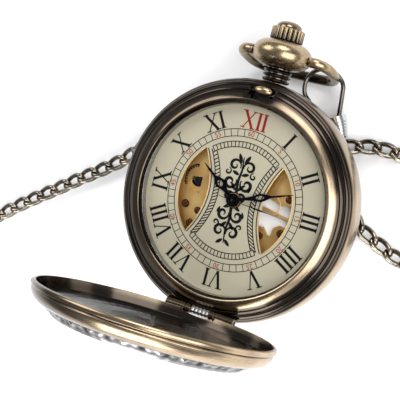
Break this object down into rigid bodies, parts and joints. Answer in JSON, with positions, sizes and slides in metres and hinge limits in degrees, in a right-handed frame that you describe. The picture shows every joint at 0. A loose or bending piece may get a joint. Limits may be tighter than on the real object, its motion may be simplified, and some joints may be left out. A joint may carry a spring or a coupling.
{
  "type": "pocket watch",
  "caption": "Skeleton-dial mechanical pocket watch with hinged engraved cover, see-through back, folding bow, winding crown and a curb chain with snap hook and bar.",
  "frame": {"origin": "centre of the flat back of the case", "axes": "+Z out of the dial, +Y towards 12 o'clock and the crown, +X towards 3 o'clock"},
  "size_m": [0.1151, 0.0667, 0.0644],
  "materials": {
    "bronze": "antique bronze plating, brushed, dark in the recesses",
    "gunmetal": "dark polished nickel",
    "relief": "dark antiqued relief with bright high points",
    "crystal": "clear mineral glass",
    "dial_paint": "cream enamel paint with printed numerals",
    "gilt": "gilt brass, brushed",
    "steel": "polished steel",
    "blued": "blued black steel",
    "screw": "brown tempered screws",
    "chain": "antique dark bronze plating on steel links"
  },
  "bodies": {
    "root": {"case_band": "bronze", "front_bezel": "bronze", "front_crystal": "crystal", "rehaut_ring": "gunmetal", "back_bezel": "bronze", "back_crystal": "crystal", "movement_ring": "gilt", "dial": "dial_paint", "main_plate": "gilt", "barrel_bridge": "gilt", "train_bridge": "gilt", "balance_cock": "gilt", "pendant_neck": "bronze", "pendant_ball": "bronze", "hinge_pin": "gilt", "hinge_spring": "steel", "chain_run_right": "chain", "chain_run_left": "chain", "chain_coil": "chain", "chain_bar": "chain", "bar_ring": "chain"},
    "cover": {"cover_rim": "bronze", "cover_relief_plate": "relief", "cover_inner_plate": "gunmetal"},
    "latch": {"latch_tongue": "bronze"},
    "winding_pinion": {"winding_pinion": "steel"},
    "crown": {"crown": "bronze", "crown_cap": "bronze", "winding_stem": "steel", "sliding_clutch": "steel"},
    "crown_wheel": {"crown_wheel": "steel", "crown_wheel_screw": "screw"},
    "ratchet": {"ratchet_wheel": "steel", "ratchet_screw": "screw", "barrel_arbor": "steel", "mainspring": "steel"},
    "click": {"click": "steel"},
    "barrel": {"barrel": "steel"},
    "centre": {"centre_wheel": "gilt", "cannon_pinion": "steel", "minute_hand": "blued"},
    "minute_wheel": {"minute_wheel": "gilt"},
    "hour": {"hour_wheel": "gilt", "hour_hand": "blued"},
    "third": {"third_wheel": "gilt"},
    "seconds": {"fourth_wheel": "gilt", "seconds_hand": "blued"},
    "escape": {"escape_wheel": "gilt"},
    "pallet": {"pallet_fork": "steel"},
    "balance": {"balance_wheel": "gilt", "balance_staff": "steel", "hairspring": "blued"},
    "bow": {"bow": "bronze", "bow_screw_right": "screw", "bow_screw_left": "screw", "clasp_hook": "chain", "clasp_swivel": "chain"},
    "gate": {"clasp_gate": "chain"}
  },
  "joints": [
    {"name": "cover_hinge", "type": "hinge", "parent": "root", "child": "cover", "pos_m": [0, -0.0221, 0.0132], "axis": [1, 0, 0], "range_deg": [-84.5, 0], "stiffness_Nm_per_rad": 0.0006, "springref_deg": 34.38},
    {"name": "latch_push", "type": "slide", "parent": "root", "child": "latch", "axis": [0, -1, 0], "range_m": [0, 0.0005], "stiffness_N_per_m": 200},
    {"name": "crown_turn", "type": "hinge", "parent": "root", "child": "winding_pinion", "pos_m": [0, 0.01, 0.00572], "axis": [0, 1, 0], "continuous": true},
    {"name": "crown_pull", "type": "slide", "parent": "winding_pinion", "child": "crown", "axis": [0, 1, 0], "range_m": [0, 0.0008]},
    {"name": "crown_wheel_turn", "type": "hinge", "parent": "root", "child": "crown_wheel", "pos_m": [-0.0026, 0.00762, 0.0027], "axis": [0, 0, 1], "continuous": true},
    {"name": "ratchet_turn", "type": "hinge", "parent": "root", "child": "ratchet", "pos_m": [-0.0096, 0.0012, 0.0027], "axis": [0, 0, 1], "continuous": true},
    {"name": "click_turn", "type": "hinge", "parent": "root", "child": "click", "pos_m": [-0.0153, -0.0029, 0.0027], "axis": [0, 0, 1], "range_deg": [-8, 0], "stiffness_Nm_per_rad": 0.0001},
    {"name": "seconds_turn", "type": "hinge", "parent": "root", "child": "seconds", "pos_m": [0, 0, 0.005], "axis": [0, 0, 1], "continuous": true},
    {"name": "minutes_turn", "type": "hinge", "parent": "root", "child": "centre", "pos_m": [0, 0, 0.005], "axis": [0, 0, 1], "continuous": true},
    {"name": "minute_wheel_turn", "type": "hinge", "parent": "root", "child": "minute_wheel", "pos_m": [0, -0.0049, 0.0095], "axis": [0, 0, 1], "continuous": true},
    {"name": "hours_turn", "type": "hinge", "parent": "root", "child": "hour", "pos_m": [0, 0, 0.01], "axis": [0, 0, 1], "continuous": true},
    {"name": "third_wheel_turn", "type": "hinge", "parent": "root", "child": "third", "pos_m": [0.0036, -0.0049, 0.005], "axis": [0, 0, 1], "continuous": true},
    {"name": "escape_wheel_turn", "type": "hinge", "parent": "root", "child": "escape", "pos_m": [0.00544, 0.00219, 0.005], "axis": [0, 0, 1], "continuous": true},
    {"name": "barrel_turn", "type": "hinge", "parent": "root", "child": "barrel", "pos_m": [-0.0096, 0.0012, 0.0065], "axis": [0, 0, 1], "continuous": true},
    {"name": "pallet_rock", "type": "hinge", "parent": "root", "child": "pallet", "pos_m": [0.0076, 0.00495, 0.006], "axis": [0, 0, 1], "range_deg": [-5, 5]},
    {"name": "balance_swing", "type": "hinge", "parent": "root", "child": "balance", "pos_m": [0.0107, -0.0001, 0.0067], "axis": [0, 0, 1], "range_deg": [-135, 135], "stiffness_Nm_per_rad": 0.0000001},
    {"name": "bow_hinge", "type": "hinge", "parent": "root", "child": "bow", "pos_m": [0, 0.029, 0.00572], "axis": [1, 0, 0], "range_deg": [0, 187]},
    {"name": "gate_swing", "type": "hinge", "parent": "bow", "child": "gate", "pos_m": [0.0092, 0.0193, -0.0054], "axis": [0.1607, 0.2109, 0.9642], "range_deg": [0, 20], "stiffness_Nm_per_rad": 0.0001}
  ],
  "couplings": [
    {"joint": "crown_wheel_turn", "follows": "crown_turn", "ratio": -0.77778},
    {"joint": "ratchet_turn", "follows": "crown_turn", "ratio": 0.53846},
    {"joint": "minutes_turn", "follows": "seconds_turn", "ratio": 0.016667},
    {"joint": "third_wheel_turn", "follows": "seconds_turn", "ratio": -0.13333},
    {"joint": "hours_turn", "follows": "seconds_turn", "ratio": 0.0013889},
    {"joint": "minute_wheel_turn", "follows": "seconds_turn", "ratio": -0.0055556},
    {"joint": "escape_wheel_turn", "follows": "seconds_turn", "ratio": -10},
    {"joint": "barrel_turn", "follows": "seconds_turn", "ratio": -0.0033333}
  ]
}
